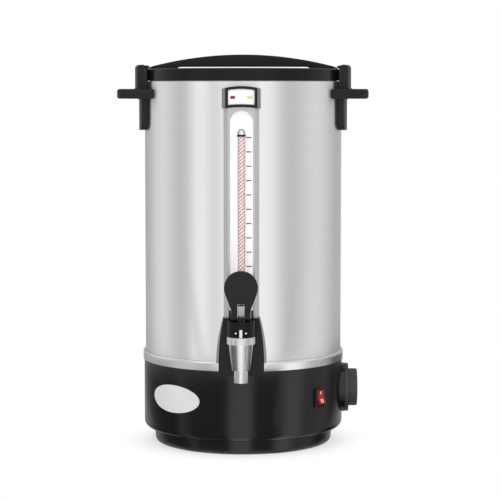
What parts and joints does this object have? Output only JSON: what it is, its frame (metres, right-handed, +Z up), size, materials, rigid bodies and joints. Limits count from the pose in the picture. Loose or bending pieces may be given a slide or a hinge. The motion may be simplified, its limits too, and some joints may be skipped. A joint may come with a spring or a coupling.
{
  "type": "electric beverage dispenser",
  "caption": "Electric hot-drink urn: brushed steel body on a black base, lever tap, level gauge, lamps, switch, dial, side handles and lift-off lid.",
  "frame": {"origin": "on the urn's vertical axis, in the plane that its foot ring stands on", "axes": "+Z up, -Y to the front where the tap is, +X to the side with the temperature dial"},
  "size_m": [0.2846, 0.2818, 0.4433],
  "materials": {
    "brushed_steel": "fine circumferential brushing",
    "trim_steel": "bright rolled trim",
    "plain_steel": "plain drawn steel",
    "screw_steel": "bright plated",
    "spring_steel": "drawn wire",
    "black_moulding": "satin moulded",
    "black_base": "smooth gloss",
    "black_foot": "satin moulded",
    "black_tap": "satin moulded",
    "black_control": "semi gloss",
    "silver_rail": "silver painted moulding",
    "white_plate": "printed white plate",
    "clear_tube": "clear tube",
    "black_rubber": "moulded rubber",
    "silicone": "translucent silicone",
    "chrome": "polished plating",
    "brass": "turned brass",
    "cast_aluminium": "cast plate",
    "red_lens": "clear red lens",
    "green_lens": "clear yellow-green lens",
    "red_rocker": "translucent red"
  },
  "bodies": {
    "urn": {"outer_shell": "brushed_steel", "trim_ring": "trim_steel", "tank": "plain_steel", "tank_floor": "plain_steel", "base_plate": "plain_steel", "base_screws": "screw_steel", "handle_screws": "screw_steel", "bonnet_screws": "screw_steel", "tap_spring": "spring_steel", "left_handle": "black_moulding", "right_handle": "black_moulding", "base_housing": "black_base", "foot_ring": "black_foot", "tap_bonnet": "black_tap", "tap_shroud": "black_tap", "lamp_frame": "black_tap", "switch_bezel": "black_control", "power_inlet": "black_control", "thermostat": "black_control", "gauge_column": "silver_rail", "lamp_housing": "silver_rail", "shroud_rails": "silver_rail", "gauge_scale": "white_plate", "lamp_face": "white_plate", "gauge_tube": "clear_tube", "gauge_cap": "clear_tube", "gauge_seal": "black_rubber", "gauge_foot_seal": "black_rubber", "shank_seals": "silicone", "tap_body": "chrome", "shank_tee": "brass", "shank_nut": "brass", "shank_spacer": "brass", "inlet_pins": "brass", "heater_plate": "cast_aluminium", "thermal_cutout": "cast_aluminium", "red_lamp": "red_lens", "green_lamp": "green_lens"},
    "tap_stem": {"tap_stem": "chrome", "seat_cup": "silicone", "lever_pin": "screw_steel"},
    "tap_lever": {"tap_lever": "black_tap"},
    "dial": {"dial_knob": "black_control", "dial_shaft": "screw_steel"},
    "rocker": {"switch_rocker": "red_rocker"},
    "lid_seat": {"lid_seal": "silicone"},
    "lid": {"lid_cover": "black_moulding", "lid_liner": "plain_steel", "lid_screws": "screw_steel"}
  },
  "joints": [
    {"name": "tap_stem_lift", "type": "slide", "parent": "urn", "child": "tap_stem", "axis": [0, 0, 1], "range_m": [0, 0.005], "deforming": ["tap_spring"]},
    {"name": "tap_lever_pull", "type": "hinge", "parent": "tap_stem", "child": "tap_lever", "pos_m": [0, -0.15, 0.1652], "axis": [1, 0, 0], "range_deg": [0, 50], "stiffness_Nm_per_rad": 0.2, "springref_deg": -17.19},
    {"name": "dial_turn", "type": "hinge", "parent": "urn", "child": "dial", "pos_m": [0.117, 0, 0.0604], "axis": [-1, 0, 0], "range_deg": [0, 270]},
    {"name": "rocker_tip", "type": "hinge", "parent": "urn", "child": "rocker", "pos_m": [0.08517, -0.07456, 0.0606], "axis": [0.6587, 0.7524, 0], "range_deg": [0, 24]},
    {"name": "lid_lift", "type": "slide", "parent": "urn", "child": "lid_seat", "axis": [0, 0, 1], "range_m": [0, 0.12]},
    {"name": "lid_turn", "type": "hinge", "parent": "lid_seat", "child": "lid", "pos_m": [0, 0, 0.42], "axis": [0, 0, 1], "range_deg": [-30, 0]}
  ],
  "couplings": [
    {"joint": "tap_stem_lift", "follows": "tap_lever_pull", "m_per_rad": 0.0057}
  ]
}
